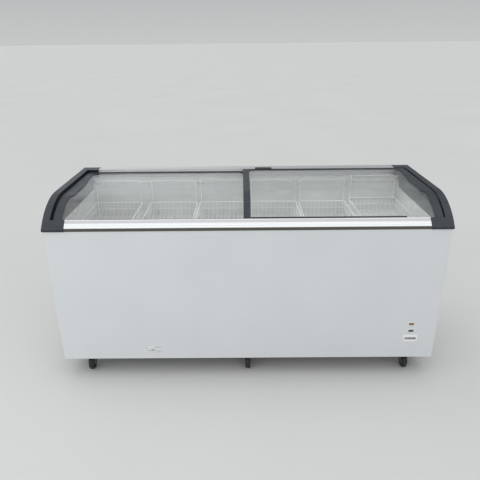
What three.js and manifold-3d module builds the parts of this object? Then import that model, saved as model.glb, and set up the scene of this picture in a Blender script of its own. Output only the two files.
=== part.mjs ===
// Chest freezer with two curved sliding glass lids, six hanging baskets and six swivel casters.
// Millimetres. +X runs along the freezer, -Y is the customer's side, +Z is up, z = 0 is the floor.
import * as THREE from "three";
import { mergeVertices } from "three/addons/utils/BufferGeometryUtils.js";
import Module from "manifold-3d";

const wasm = await Module();
wasm.setup();

// ---- driving dimensions ----
const length = 1800;
const depth = 685;
const height = 889;
const front = -depth / 2;
const rear = depth / 2;
const fit = 0.3; // gap kept between pieces that touch

// The top runs flat from the rear, then curves down to the front rail.
const archRadius = 288;
const archY = front + 227;
const archZ = height - archRadius;
const railTop = 42.3; // degrees round the arch where the front rail begins
const railFoot = 50.3; // and where it ends
const skirtZ = 770; // lower edge of the rail and of the end frames

// End frames
const cheekThickness = 33.5;
const cheekInner = length / 2 - cheekThickness;
const cheekWall = 3;
const coverInner = 801; // the front corner covers reach in to this |x|
const rearCoverInner = 807; // and the rear ones to this
const coverThickness = 2.5;
const collarDepth = 43.5; // collar surface below the top profile
const collarThickness = 4;
const collarSkirtFoot = 785;

// Sheet metal shell
const sheet = 1;
const shellX = 896;
const panelY = front + 5.6;
const backY = rear - 1.5;
const panelFoot = 101;
const basePanZ = 125;

// Inner tub
const tubX = 838;
const tubY = 272;
const tubWall = 3;
const tubFloor = 185;
const tubStepX = 553; // the step over the machine compartment starts here
const rearLedgeZ = 826;
const frontLedgeZ = 740;
const ledgeDepth = 12;

// Baskets
const basketWidth = 260;
const basketDepth = 524;
const basketFoot = 632;
const basketHeight = 80;
const basketBar = 5;
const basketCentres = [-702, -396, -127, 149, 417, 693];
const raisedBasket = 5; // the last one stands on the step
const raisedBy = 18;

// Machine compartment
const machineX = 606;
const machineTop = 593;

// Rails and lids: distances below the top profile
const rearRailY = rear - 57;
const railDepth = 43;
const grooveRear = rearRailY + 10;
const grooveFront = 47.5;
const upperTrack = { frame: [2, 11], glass: [4.5, 8.5], groove: [2.5, 11.3], glide: [3, 10.8] };
const lowerTrack = { frame: [13, 22], glass: [15.5, 19.5], groove: [12.9, 22.3], glide: [13.4, 21.8] };
const lidEdge = 858;
const handleWidth = 37;
// How much wider the handle is along the lid: (distance behind the start of the arch, extra width).
const handleSwell = [
  [-45, 0.5],
  [-17, 17],
  [150, 17],
  [238, 5],
  [330, 0.5],
  [352, 2],
  [364, 14],
  [401, 14],
];
const glideNoseEnd = 700;
const rearFrameY = rearRailY - 9;

// Casters
const wheelRadius = 37.5;
const wheelWidth = 24;
const casterTrail = 25;
const casterTop = 104.2;
const casterX = [-785, 0, 785];
const casterY = 245;

// ---- finishes ----
const finishes = {
  whiteSheet: { color: 0xc9cfd3, roughness: 0.42, metalness: 0.0 },
  charcoalPlastic: { color: 0x3c454c, roughness: 0.5, metalness: 0.0 },
  blackPlastic: { color: 0x17191c, roughness: 0.45, metalness: 0.0 },
  brightAluminium: { color: 0xd8dadb, roughness: 0.32, metalness: 0.9 },
  glass: { color: 0xdfe8e6, roughness: 0.04, metalness: 0.0, transparent: true, opacity: 0.3 },
  linerWhite: { color: 0xdfe3e1, roughness: 0.4, metalness: 0.0 },
  basketWhite: { color: 0xe6e9e8, roughness: 0.4, metalness: 0.0 },
  foam: { color: 0xe3d4a0, roughness: 0.9, metalness: 0.0 },
  zinc: { color: 0x9a9c9e, roughness: 0.4, metalness: 0.85 },
  copper: { color: 0xb06a3c, roughness: 0.35, metalness: 0.9 },
  greyRubber: { color: 0x2b2c2e, roughness: 0.8, metalness: 0.0 },
  amberLens: { color: 0xf2a127, roughness: 0.2, metalness: 0.0 },
  greenLens: { color: 0x2fbf5a, roughness: 0.2, metalness: 0.0 },
  bezelWhite: { color: 0xeeeff0, roughness: 0.4, metalness: 0.0 },
};

const freezer = new THREE.Group();

function add(name, finish, geometry) {
  const mesh = new THREE.Mesh(geometry, new THREE.MeshStandardMaterial(finishes[finish]));
  mesh.name = name;
  freezer.add(mesh);
  return mesh;
}

// ---- joining and cutting ----
function toSolid(geometry) {
  const bare = geometry.index ? geometry.toNonIndexed() : geometry.clone();
  bare.deleteAttribute("normal");
  bare.deleteAttribute("uv");
  const merged = mergeVertices(bare, 1e-3);
  const vertProperties = merged.attributes.position.array;
  const triVerts = new Uint32Array(merged.index.array);
  return new wasm.Manifold(new wasm.Mesh({ numProp: 3, vertProperties, triVerts }));
}

function toGeometry(solid) {
  const mesh = solid.getMesh();
  const geometry = new THREE.BufferGeometry();
  geometry.setAttribute("position", new THREE.BufferAttribute(mesh.vertProperties, 3));
  geometry.setIndex(new THREE.BufferAttribute(mesh.triVerts, 1));
  return geometry.toNonIndexed();
}

function join(...geometries) {
  return toGeometry(geometries.map(toSolid).reduce((whole, piece) => whole.add(piece)));
}

function shared(first, second) {
  return toGeometry(toSolid(first).intersect(toSolid(second)));
}

function cut(geometry, ...tools) {
  return toGeometry(tools.map(toSolid).reduce((whole, tool) => whole.subtract(tool), toSolid(geometry)));
}

// ---- basic shapes ----
function box(x0, x1, y0, y1, z0, z1) {
  const block = new THREE.BoxGeometry(x1 - x0, y1 - y0, z1 - z0);
  return block.translate((x0 + x1) / 2, (y0 + y1) / 2, (z0 + z1) / 2);
}

function outline(points) {
  return new THREE.Shape(points.map(([a, b]) => new THREE.Vector2(a, b)));
}

// A (y, z) outline pushed along X.
function alongX(points, x0, x1) {
  const bar = new THREE.ExtrudeGeometry(outline(points), { depth: x1 - x0, bevelEnabled: false });
  const axes = new THREE.Matrix4().makeBasis(
    new THREE.Vector3(0, 1, 0),
    new THREE.Vector3(0, 0, 1),
    new THREE.Vector3(1, 0, 0),
  );
  return bar.applyMatrix4(axes).translate(x0, 0, 0);
}

// An (x, z) outline pushed along Y.
function alongY(points, y0, y1) {
  const bar = new THREE.ExtrudeGeometry(outline(points), { depth: y1 - y0, bevelEnabled: false });
  return bar.rotateX(Math.PI / 2).translate(0, y1, 0);
}

// An (x, y) outline pushed along Z.
function alongZ(points, z0, z1) {
  const bar = new THREE.ExtrudeGeometry(outline(points), { depth: z1 - z0, bevelEnabled: false });
  return bar.translate(0, 0, z0);
}

function upright(radius, x, y, z0, z1, sides = 24) {
  const rod = new THREE.CylinderGeometry(radius, radius, z1 - z0, sides);
  return rod.rotateX(Math.PI / 2).translate(x, y, (z0 + z1) / 2);
}

function crosswise(radius, x0, x1, y, z, sides = 12) {
  const rod = new THREE.CylinderGeometry(radius, radius, x1 - x0, sides);
  return rod.rotateZ(Math.PI / 2).translate((x0 + x1) / 2, y, z);
}

// ---- the top profile ----
function archPoint(below, degrees) {
  const angle = THREE.MathUtils.degToRad(degrees);
  const radius = archRadius - below;
  return [archY - radius * Math.sin(angle), archZ + radius * Math.cos(angle)];
}

function archPoints(below, from, to, stepDegrees = 4) {
  const steps = Math.max(1, Math.ceil(Math.abs(to - from) / stepDegrees));
  return Array.from({ length: steps + 1 }, (_, i) => archPoint(below, from + ((to - from) * i) / steps));
}

// Strip between two depths below the profile, from yRear on the flat to an angle round the arch.
function profileStrip(outer, inner, yRear, degrees) {
  return [
    [yRear, height - outer],
    ...archPoints(outer, 0, degrees),
    ...archPoints(inner, degrees, 0),
    [yRear, height - inner],
  ];
}

function flatStrip(outer, inner, yFront, yRear) {
  return [
    [yFront, height - inner],
    [yRear, height - inner],
    [yRear, height - outer],
    [yFront, height - outer],
  ];
}

function archStrip(outer, inner, from, to) {
  return [...archPoints(outer, from, to), ...archPoints(inner, to, from)];
}

// ---- end frames ----
function cheekOutline(below, footZ, backEdge = rear - below) {
  const lip = archPoint(below, railFoot);
  return [
    [backEdge, footZ],
    [backEdge, height - below],
    ...archPoints(below, 0, railFoot),
    [front + below, lip[1] - 4],
    [front + below, footZ],
  ];
}

function endFrame(name, side) {
  const span = (a, b) => (side > 0 ? [a, b] : [-b, -a]);
  const block = alongX(cheekOutline(0, skirtZ), ...span(coverInner, length / 2));
  const pocket = alongX(
    cheekOutline(cheekWall, skirtZ - 10),
    ...span(cheekInner + cheekWall, length / 2 - cheekWall),
  );
  const underCovers = alongX(
    cheekOutline(coverThickness, skirtZ - 10, rear + 1),
    ...span(coverInner - 1, cheekInner),
  );
  const lidOpening = alongX(
    [
      [rearRailY, height - 20],
      [rearRailY, height + 20],
      archPoint(-120, railTop),
      archPoint(20, railTop),
    ],
    ...span(coverInner - 1, cheekInner),
  );
  const shortRearCover = box(...span(coverInner - 1, rearCoverInner), archY, rear + 1, skirtZ - 1, height + 1);
  const collar = alongX(
    profileStrip(collarDepth, collarDepth + collarThickness, rear - 5, 49.5),
    ...span(tubX, cheekInner + 1),
  );
  const skirtOutline = [
    [tubY + ledgeDepth, collarSkirtFoot],
    [tubY + ledgeDepth, height - collarDepth - 1],
    ...archPoints(collarDepth + 1, 0, 39.9),
    [-tubY + fit, collarSkirtFoot],
  ];
  const skirt = alongX(skirtOutline, ...span(tubX + fit, tubX + tubWall));
  const frame = cut(block, pocket, underCovers, lidOpening, shortRearCover);
  add(name, "charcoalPlastic", join(frame, collar, skirt));
}

// ---- rails ----
function trackGrooves(x0, x1) {
  return [upperTrack, lowerTrack].map(({ groove }) =>
    alongX(archStrip(groove[0], groove[1], railTop - 1, grooveFront), x0, x1),
  );
}

function frontRail() {
  const end = cheekInner - fit;
  const block = alongX(archStrip(0, railDepth, railTop, railFoot), -end, end);
  const foot = archPoint(0, railFoot);
  const skirtY = front + coverThickness + fit;
  const skirt = alongX(
    [
      [skirtY, skirtZ],
      [skirtY + 2.2, skirtZ],
      [skirtY + 6, foot[1] - 3],
      [foot[0] + 6, foot[1] + 6],
      [foot[0] + 0.2, foot[1] + 0.2],
      [skirtY, foot[1] - 2],
    ],
    -end,
    end,
  );
  const coverSeat = [-1, 1].map((side) => {
    const seat = archStrip(-2, coverThickness + fit, railTop - 1, railFoot + 1.5);
    const inner = coverInner - fit;
    return side > 0 ? alongX(seat, inner, end + 1) : alongX(seat, -end - 1, -inner);
  });
  const skirtSeat = [-1, 1].map((side) => {
    const [x0, x1] = side > 0 ? [coverInner - fit, end + 1] : [-end - 1, -coverInner + fit];
    return box(x0, x1, front - 1, front + coverThickness + 2 + fit, skirtZ - 1, foot[1] + 1);
  });
  add(
    "front_rail",
    "brightAluminium",
    cut(join(block, skirt), ...trackGrooves(-end - 1, end + 1), ...coverSeat, ...skirtSeat),
  );
}

const stopBlock = { x: [50, 140], y: [rearRailY, rear - 27], z: [height - 2.3, height] };

function rearRail() {
  const end = cheekInner - fit;
  const block = box(-end, end, rearRailY, rear, height - railDepth, height);
  const grooves = [upperTrack, lowerTrack].map(({ groove }) =>
    box(-end - 1, end + 1, rearRailY - 1, grooveRear, height - groove[1], height - groove[0]),
  );
  const chamber = box(-end - 1, end + 1, grooveRear + 4, rear - 4, height - railDepth + 4, height - 4.5);
  const coverSeat = [
    [rearCoverInner - fit, end + 1],
    [-end - 1, fit - rearCoverInner],
  ].map(([x0, x1]) => box(x0, x1, rearRailY - 1, rear + 1, height - coverThickness - fit, height + 1));
  const notch = box(
    stopBlock.x[0] - fit,
    stopBlock.x[1] + fit,
    rearRailY - 1,
    stopBlock.y[1] + fit,
    stopBlock.z[0] - fit,
    height + 1,
  );
  add("rear_rail", "brightAluminium", cut(block, ...grooves, chamber, ...coverSeat, notch));
  add("rail_stop_block", "blackPlastic", box(...stopBlock.x, ...stopBlock.y, ...stopBlock.z));
}

// ---- sliding lids ----
// side is +1 for the lid whose handle is at +X, -1 for the other.
function slidingLid(name, track, side, innerFrame) {
  const span = (a, b) => (side > 0 ? [a, b] : [-b, -a]);
  const glassEnd = 45.9;
  const glideEnd = 46.9;
  const glassRear = grooveRear - 6.5;
  const glideRear = grooveRear - 3;
  const seam = 0.4;
  const handleInner = lidEdge - handleWidth;
  const [innerLow, innerHigh] = innerFrame;

  const glassX = span(innerHigh - 10, lidEdge - 20);
  const pane = profileStrip(track.glass[0], track.glass[1], glassRear, glassEnd);
  add(`${name}_glass`, "glass", alongX(pane, ...glassX));
  const slot = alongX(
    profileStrip(track.glass[0] - seam, track.glass[1] + seam, glassRear + seam, glassEnd + 0.2),
    glassX[0] - seam,
    glassX[1] + seam,
  );

  const frontStop = railTop - 0.3;
  const rearStop = rearRailY - fit;
  const [outer, inner] = track.frame;
  const strip = profileStrip(outer, inner, rearStop, frontStop);
  const handleRail = alongX(strip, ...span(handleInner, lidEdge));
  const swellPoints = [
    [side * (handleInner + 1), archY + handleSwell[0][0]],
    ...handleSwell.map(([along, extra]) => [side * (handleInner - extra), archY + along]),
    [side * (handleInner + 1), rear],
  ];
  const swellOutline = side > 0 ? swellPoints.reverse() : swellPoints;
  const swell = shared(
    alongZ(swellOutline, height / 2, height + 1),
    alongX(strip, ...span(handleInner - 2 * handleWidth, handleInner + 1)),
  );
  add(`${name}_handle_frame`, "charcoalPlastic", cut(join(handleRail, swell), slot));

  const bar = alongX(strip, ...span(innerLow, innerHigh));
  const gussetPoints = [
    [innerHigh - 1, rearFrameY - fit],
    [innerHigh + 34, rearFrameY - fit],
    [innerHigh + 16, rearFrameY - 7],
    [innerHigh + 5, rearFrameY - 19],
    [innerHigh - 1, rearFrameY - 38],
  ].map(([x, y]) => [side * x, y]);
  const gusset = alongZ(side > 0 ? gussetPoints.reverse() : gussetPoints, height - inner, height - outer);
  add(`${name}_centre_frame`, "charcoalPlastic", cut(join(bar, gusset), slot));

  const cornerSwell = handleSwell[handleSwell.length - 1][1];
  const between = span(innerHigh + fit, handleInner - cornerSwell - fit);
  const noseSpan = span(innerHigh + fit, glideNoseEnd);
  const whole = span(innerLow, lidEdge);
  const [glideOuter, glideInner] = track.glide;
  const glideNose = alongX(archStrip(outer, inner, 40.5, railTop - 0.1), ...noseSpan);
  const glideTongue = alongX(archStrip(glideOuter, glideInner, railTop - 0.2, glideEnd), ...whole);
  add(`${name}_front_glide`, "blackPlastic", cut(join(glideNose, glideTongue), slot));

  const rearBody = alongX(flatStrip(outer, inner, rearFrameY, rearRailY - 0.1), ...between);
  const rearTongue = alongX(flatStrip(glideOuter, glideInner, rearRailY - 0.2, glideRear), ...whole);
  add(`${name}_rear_frame`, "blackPlastic", cut(join(rearBody, rearTongue), slot));
}

// ---- sheet metal shell ----
const lamps = {
  amber_lamp: { finish: "amberLens", x: 775, z: 289 },
  green_lamp: { finish: "greenLens", x: 776.5, z: 252 },
};
const lampBezel = [29, 17];
const lampBody = [26, 13];
const thermometer = { x: 776.5, z: 209.5, width: 69, height: 37 };
const display = { z: 210.5, width: 54, height: 13 };

function panelHole(x, z, width, tall) {
  return box(x - width / 2, x + width / 2, panelY - 1, panelY + sheet + 1, z - tall / 2, z + tall / 2);
}

function frontPanel() {
  const face = box(-shellX, shellX, panelY, panelY + sheet, panelFoot, skirtZ - fit);
  const foldX = shellX - sheet - fit;
  const fold = box(-foldX, foldX, panelY, panelY + 14, panelFoot, panelFoot + sheet);
  const lampHoles = Object.values(lamps).map(({ x, z }) =>
    panelHole(x, z, lampBody[0] + 2 * fit, lampBody[1] + 2 * fit),
  );
  const { x: faceX, z: faceZ, width, height: tall } = thermometer;
  const thermometerHole = panelHole(faceX, faceZ, width - 6, tall - 6);
  add("front_panel", "whiteSheet", cut(join(face, fold), ...lampHoles, thermometerHole));
}

function sidePanel(name, side) {
  const [x0, x1] = side > 0 ? [shellX - sheet, shellX] : [-shellX, -shellX + sheet];
  const face = box(x0, x1, panelY + sheet + fit, backY - sheet - fit, panelFoot, skirtZ - fit);
  if (side < 0) {
    add(name, "whiteSheet", face);
    return;
  }
  const louvres = Array.from({ length: 9 }, (_, i) => {
    const z = 190 + i * 24;
    return box(x0 - 1, x1 + 1, -70, 110, z, z + 8);
  });
  add(name, "whiteSheet", cut(face, ...louvres));
}

const grille = { x: [622, 878], z: [142, 558], depth: 13 };

function rearPanel() {
  const neck = cheekInner - fit;
  const shoulderZ = skirtZ - fit;
  const topZ = height - railDepth - 1;
  const face = alongY(
    [
      [-shellX, panelFoot],
      [shellX, panelFoot],
      [shellX, shoulderZ],
      [neck, shoulderZ],
      [neck, topZ],
      [-neck, topZ],
      [-neck, shoulderZ],
      [-shellX, shoulderZ],
    ],
    backY - sheet,
    backY,
  );
  const opening = box(
    grille.x[0] + 3,
    grille.x[1] - 3,
    backY - 3,
    backY + 1,
    grille.z[0] + 3,
    grille.z[1] - 3,
  );
  add("rear_panel", "whiteSheet", cut(face, opening));
}

function machineGrille() {
  const [x0, x1] = grille.x;
  const [z0, z1] = grille.z;
  const y1 = backY - sheet - fit;
  const y0 = y1 - grille.depth;
  const tray = box(x0, x1, y0, y1, z0, z1);
  const dish = box(x0 + 1.5, x1 - 1.5, y0 + 1.5, y1 + 1, z0 + 1.5, z1 - 1.5);
  const slots = Array.from({ length: 10 }, (_, i) => {
    const z = 240 + i * 30;
    return box(x0 + 24, x1 - 24, y0 - 1, y0 + 3, z, z + 12);
  });
  const gland = { x: x1 - 50, z: z0 + 38, radius: 8 };
  const hole = new THREE.CylinderGeometry(gland.radius + fit, gland.radius + fit, 8, 20);
  hole.translate(gland.x, y0, gland.z);
  add("machine_grille", "whiteSheet", cut(tray, dish, ...slots, hole));
  const sleeve = new THREE.CylinderGeometry(gland.radius, gland.radius, 12, 20);
  sleeve.translate(gland.x, y0 + 0.5, gland.z);
  const collar = new THREE.CylinderGeometry(gland.radius + 4, gland.radius + 4, 4, 6);
  collar.translate(gland.x, y0 + 1.5 + fit + 2, gland.z);
  const bore = new THREE.CylinderGeometry(3.6, 3.6, 20, 12);
  bore.translate(gland.x, y0 + 2, gland.z);
  add("cable_gland", "blackPlastic", cut(join(sleeve, collar), bore));
}

// ---- base ----
const drain = { x: -700, y: 0, radius: 12 };

function base() {
  const pan = box(-shellX + 1.5, shellX - 1.5, panelY + 2, backY - 2, basePanZ, basePanZ + 1.5);
  add("base_pan", "zinc", cut(pan, upright(drain.radius + fit, drain.x, drain.y, 120, 130, 20)));
  for (const [name, side] of [
    ["front_base_rail", -1],
    ["rear_base_rail", 1],
  ]) {
    const y = side * (casterY + 10);
    const channel = box(-880, 880, y - 38, y + 38, casterTop + fit, basePanZ - fit);
    const hollow = box(-881, 881, y - 36, y + 36, casterTop + fit + 2, basePanZ + 1);
    add(name, "zinc", cut(channel, hollow));
  }
  const stem = upright(drain.radius, drain.x, drain.y, 120, 150, 20);
  const flange = upright(drain.radius + 5, drain.x, drain.y, 120, basePanZ - fit, 20);
  add("drain_plug", "blackPlastic", join(stem, flange));
}

// ---- tub, trim strips and insulation ----
function tubOutline(grow, top) {
  const stepTop = basketFoot + raisedBy - 0.5;
  return [
    [-tubX - grow, tubFloor - grow],
    [tubStepX + grow, tubFloor - grow],
    [tubStepX + grow, stepTop - grow],
    [tubX + grow, stepTop - grow],
    [tubX + grow, top],
    [-tubX - grow, top],
  ];
}

const tubRearTop = rearLedgeZ - 15;
const tubFrontTop = frontLedgeZ - 15;

function innerTub() {
  const outer = alongY(tubOutline(tubWall, tubRearTop), -tubY - tubWall, tubY + tubWall);
  const hollow = alongY(tubOutline(0, height), -tubY, tubY);
  const sideTop = collarSkirtFoot - 2;
  const end = length / 2;
  const sideCut = box(-end, end, -tubY - 2 * tubWall, tubY, sideTop, height);
  const frontCut = box(-end, end, -tubY - 2 * tubWall, -tubY + 0.1, tubFrontTop, height);
  const cornerCuts = [
    box(tubX - fit, end, 0, rear, sideTop, height),
    box(-end, -tubX + fit, 0, rear, sideTop, height),
  ];
  add("inner_tub", "linerWhite", cut(outer, hollow, sideCut, frontCut, ...cornerCuts));
}

function trimStrips() {
  const end = tubX - fit;
  const rearInner = tubY + ledgeDepth;
  add(
    "rear_trim_strip",
    "linerWhite",
    alongX(
      [
        [tubY, tubRearTop + fit],
        [tubY + 4, tubRearTop + fit],
        [tubY + 4, rearLedgeZ - 4],
        [rearInner + 4, rearLedgeZ - 4],
        [rearInner + 4, height - railDepth - 5],
        [backY - 2, height - railDepth - 5],
        [backY - 2, height - railDepth - fit],
        [rearInner, height - railDepth - fit],
        [rearInner, rearLedgeZ],
        [tubY, rearLedgeZ],
      ],
      -end,
      end,
    ),
  );
  const frontInner = -tubY - ledgeDepth;
  const lip = archPoint(railDepth + 1, 43.8);
  add(
    "front_trim_strip",
    "linerWhite",
    alongX(
      [
        [-tubY, tubFrontTop + fit],
        [-tubY, frontLedgeZ],
        [frontInner, frontLedgeZ],
        [frontInner, lip[1]],
        ...archPoints(railDepth + 1, 43.8, 49.8),
        [-tubY - 31, skirtZ - 14.5],
        [panelY + 2.4, skirtZ - 1],
        [panelY + 2.4, frontLedgeZ - 2],
        [-tubY - tubWall, frontLedgeZ - 2],
        [-tubY - tubWall, tubFrontTop + fit],
      ],
      -end,
      end,
    ),
  );
}

const coil = { low: 250, high: 570, loops: 3, radius: 4, gap: 11 };

function insulation() {
  const clear = 0.5;
  const shoulder = archPoint(collarDepth + collarThickness + 1, 48);
  const block = alongX(
    [
      [panelY + 2, basePanZ + 2],
      [backY - 2, basePanZ + 2],
      [backY - 2, height - collarDepth - collarThickness - 1],
      ...archPoints(collarDepth + collarThickness + 1, 0, 48),
      [shoulder[0], frontLedgeZ - 3],
      [panelY + 2, frontLedgeZ - 3],
    ],
    -shellX + 1.5,
    shellX - 1.5,
  );
  const tubHole = alongY(tubOutline(tubWall + clear, height), -tubY - tubWall - clear, tubY + tubWall + clear);
  const ledgeHole = box(-tubX - 4, tubX + 4, 0, tubY + ledgeDepth + 5, tubRearTop - clear, height);
  const lipHole = box(-tubX - 4, tubX + 4, -tubY - 30, 0, frontLedgeZ - 3, height);
  const coilReach = coil.gap + coil.radius + 2;
  const coilHole = box(
    -tubX - coilReach,
    tubStepX + coilReach,
    -tubY - coilReach,
    tubY + coilReach,
    coil.low - 12,
    coil.high + 12,
  );
  const cheekHoles = [-1, 1].map((side) => {
    const [x0, x1] = side > 0 ? [cheekInner - fit, length / 2] : [-length / 2, fit - cheekInner];
    return box(x0, x1, front, rear, skirtZ - 1, height);
  });
  const skirtHoles = [-1, 1].map((side) => {
    const [x0, x1] = side > 0 ? [tubX - 1, tubX + tubWall + 1] : [-tubX - tubWall - 1, -tubX + 1];
    return box(x0, x1, front, tubY + ledgeDepth + 5, collarSkirtFoot - 1, height);
  });
  const machine = box(machineX, shellX, panelY, rear, basePanZ, machineTop);
  const drainHole = upright(drain.radius + 1, drain.x, drain.y, basePanZ, 152, 20);
  const hollows = [tubHole, ledgeHole, lipHole, coilHole, machine, drainHole, ...cheekHoles, ...skirtHoles];
  add("insulation_foam", "foam", cut(block, ...hollows));
}

// A bent pipe: one straight length between each pair of points, run into the next at the bends.
function pipe(points, radius) {
  const up = new THREE.Vector3(0, 1, 0);
  const lengths = points.slice(1).map((end, i) => {
    const run = end.clone().sub(points[i]);
    const rod = new THREE.CylinderGeometry(radius, radius, run.length() + radius, 6);
    rod.applyQuaternion(new THREE.Quaternion().setFromUnitVectors(up, run.clone().normalize()));
    return rod.translate(...points[i].clone().addScaledVector(run, 0.5).toArray());
  });
  return join(...lengths);
}

// The evaporator winds round the outside of the tub.
function evaporatorCoil() {
  const [west, east] = [-tubX - coil.gap, tubStepX + coil.gap];
  const [south, north] = [-tubY - coil.gap, tubY + coil.gap];
  const lap = [
    [west, south],
    [east, south],
    [east, north],
    [west, north],
  ];
  const rise = (coil.high - coil.low) / (coil.loops * lap.length);
  const points = Array.from({ length: coil.loops * lap.length + 1 }, (_, i) => {
    const [x, y] = lap[i % lap.length];
    return new THREE.Vector3(x, y, coil.low + i * rise);
  });
  add("evaporator_coil", "copper", pipe(points, coil.radius));
}

// ---- baskets ----
function basket(name, x, lift) {
  const halfX = basketWidth / 2;
  const halfY = basketDepth / 2;
  const z0 = basketFoot + lift;
  const z1 = z0 + basketHeight;
  const bar = basketBar;
  const shell = box(x - halfX, x + halfX, -halfY, halfY, z0, z1);
  const inside = box(x - halfX + bar, x + halfX - bar, -halfY + bar, halfY - bar, z0 + bar, z1 + 1);
  const columns = 2;
  const rows = 4;
  const pitchX = (basketWidth - bar) / columns;
  const pitchY = (basketDepth - bar) / rows;
  const windows = [];
  for (let i = 0; i < columns; i += 1) {
    const left = x - halfX + bar + i * pitchX;
    windows.push(box(left, left + pitchX - bar, -halfY - 1, halfY + 1, z0 + bar, z1 - bar));
    for (let j = 0; j < rows; j += 1) {
      const low = -halfY + bar + j * pitchY;
      windows.push(box(left, left + pitchX - bar, low, low + pitchY - bar, z0 - 1, z0 + bar + 1));
    }
  }
  for (let j = 0; j < rows; j += 1) {
    const low = -halfY + bar + j * pitchY;
    windows.push(box(x - halfX - 1, x + halfX + 1, low, low + pitchY - bar, z0 + bar, z1 - bar));
  }
  const tray = cut(shell, inside, ...windows);
  const hanger = (side, ledgeZ) => {
    const top = ledgeZ + lift + fit;
    const reach = halfY + 20;
    const across = (a, b) => (side > 0 ? [a, b] : [-b, -a]);
    const post = (px) => box(px, px + bar, ...across(halfY - bar, halfY), z1 - bar, top + bar);
    const arm = (px) => box(px, px + bar, ...across(halfY - bar, reach), top, top + bar);
    const left = x - halfX + 8;
    const right = x + halfX - 8 - bar;
    const hook = box(left, right + bar, ...across(reach - bar, reach), top, top + bar);
    return [post(left), post(right), arm(left), arm(right), hook];
  };
  add(name, "basketWhite", join(tray, ...hanger(1, rearLedgeZ), ...hanger(-1, frontLedgeZ)));
}

// ---- controls ----
function controls() {
  for (const [name, { finish, x, z }] of Object.entries(lamps)) {
    const [w, h] = lampBezel;
    const [bw, bh] = lampBody;
    const lens = box(x - w / 2, x + w / 2, panelY - 3, panelY - fit, z - h / 2, z + h / 2);
    const body = box(x - bw / 2, x + bw / 2, panelY - 1, panelY + 18, z - bh / 2, z + bh / 2);
    add(name, finish, join(lens, body));
  }
  const { x, z, width, height: tall } = thermometer;
  const face = box(x - width / 2, x + width / 2, panelY - 3, panelY - fit, z - tall / 2, z + tall / 2);
  const body = box(
    x - width / 2 + 4,
    x + width / 2 - 4,
    panelY - 1,
    panelY + 16,
    z - tall / 2 + 4,
    z + tall / 2 - 4,
  );
  const windowCut = box(
    x - display.width / 2 - fit,
    x + display.width / 2 + fit,
    panelY - 4,
    panelY,
    display.z - display.height / 2 - fit,
    display.z + display.height / 2 + fit,
  );
  add("thermometer_bezel", "bezelWhite", cut(join(face, body), windowCut));
  add(
    "thermometer_display",
    "blackPlastic",
    box(
      x - display.width / 2,
      x + display.width / 2,
      panelY - 2.6,
      panelY - fit,
      display.z - display.height / 2,
      display.z + display.height / 2,
    ),
  );
}

// ---- machine compartment ----
function refrigeration() {
  const floorZ = basePanZ + 1.5 + fit;
  const shellProfile = [
    [0, 12],
    [52, 12],
    [74, 34],
    [76, 84],
    [76, 110],
    [66, 146],
    [40, 170],
    [0, 178],
  ].map(([r, h]) => new THREE.Vector2(r, h));
  const can = new THREE.LatheGeometry(shellProfile, 20).rotateX(Math.PI / 2).translate(745, 215, floorZ);
  const feet = box(655, 835, 190, 240, floorZ, floorZ + 16);
  add("compressor", "greyRubber", join(can, feet));

  const runs = 6;
  const points = [];
  for (let i = 0; i < runs; i += 1) {
    const z = 180 + i * 50;
    const ends = i % 2 ? [850, 650] : [650, 850];
    points.push(new THREE.Vector3(ends[0], -60, z), new THREE.Vector3(ends[1], -60, z));
  }
  const winding = pipe(points, 5);
  const bracket = (x) => box(x - 2, x + 2, -70, -50, floorZ, 450);
  add("condenser_coil", "copper", join(winding, bracket(690), bracket(810)));
}

// ---- casters ----
function caster(label, x, y) {
  const plate = box(x - 32, x + 32, y - 32, y + 32, casterTop - 3, casterTop);
  add(`${label}_plate`, "zinc", join(plate, upright(21, x, y, casterTop - 7, casterTop - 2, 16)));

  const axleY = y - casterTrail;
  const crown = upright(23, x, y, casterTop - 13, casterTop - 7 - fit, 16);
  const legOutline = [
    [y + 22, casterTop - 12],
    [y + 22, casterTop - 16],
    [axleY + 12, wheelRadius - 6],
    [axleY + 5, wheelRadius - 12],
    [axleY - 5, wheelRadius - 12],
    [axleY - 12, wheelRadius - 6],
    [y - 30, casterTop - 16],
    [y - 26, casterTop - 12],
  ];
  const half = wheelWidth / 2 + 2;
  const bridge = box(x - half - 2.5, x + half + 2.5, y - 26, y + 20, casterTop - 14.5, casterTop - 12);
  const legs = [alongX(legOutline, x - half - 2.5, x - half), alongX(legOutline, x + half, x + half + 2.5)];
  const axle = crosswise(4, x - half - 5, x + half + 5, axleY, wheelRadius);
  add(`${label}_fork`, "zinc", join(crown, bridge, ...legs, axle));

  const sides = 20;
  const cornerRadius = wheelRadius / Math.cos(Math.PI / sides);
  const w = wheelWidth / 2;
  const wheelProfile = [
    [4.6, -w],
    [cornerRadius - 3, -w],
    [cornerRadius, -w + 4],
    [cornerRadius, w - 4],
    [cornerRadius - 3, w],
    [4.6, w],
    [4.6, -w],
  ].map(([r, h]) => new THREE.Vector2(r, h));
  const wheel = new THREE.LatheGeometry(wheelProfile, sides);
  wheel.rotateY(Math.PI / sides).rotateZ(Math.PI / 2).translate(x, axleY, wheelRadius);
  add(`${label}_wheel`, "greyRubber", wheel);
}

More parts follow.
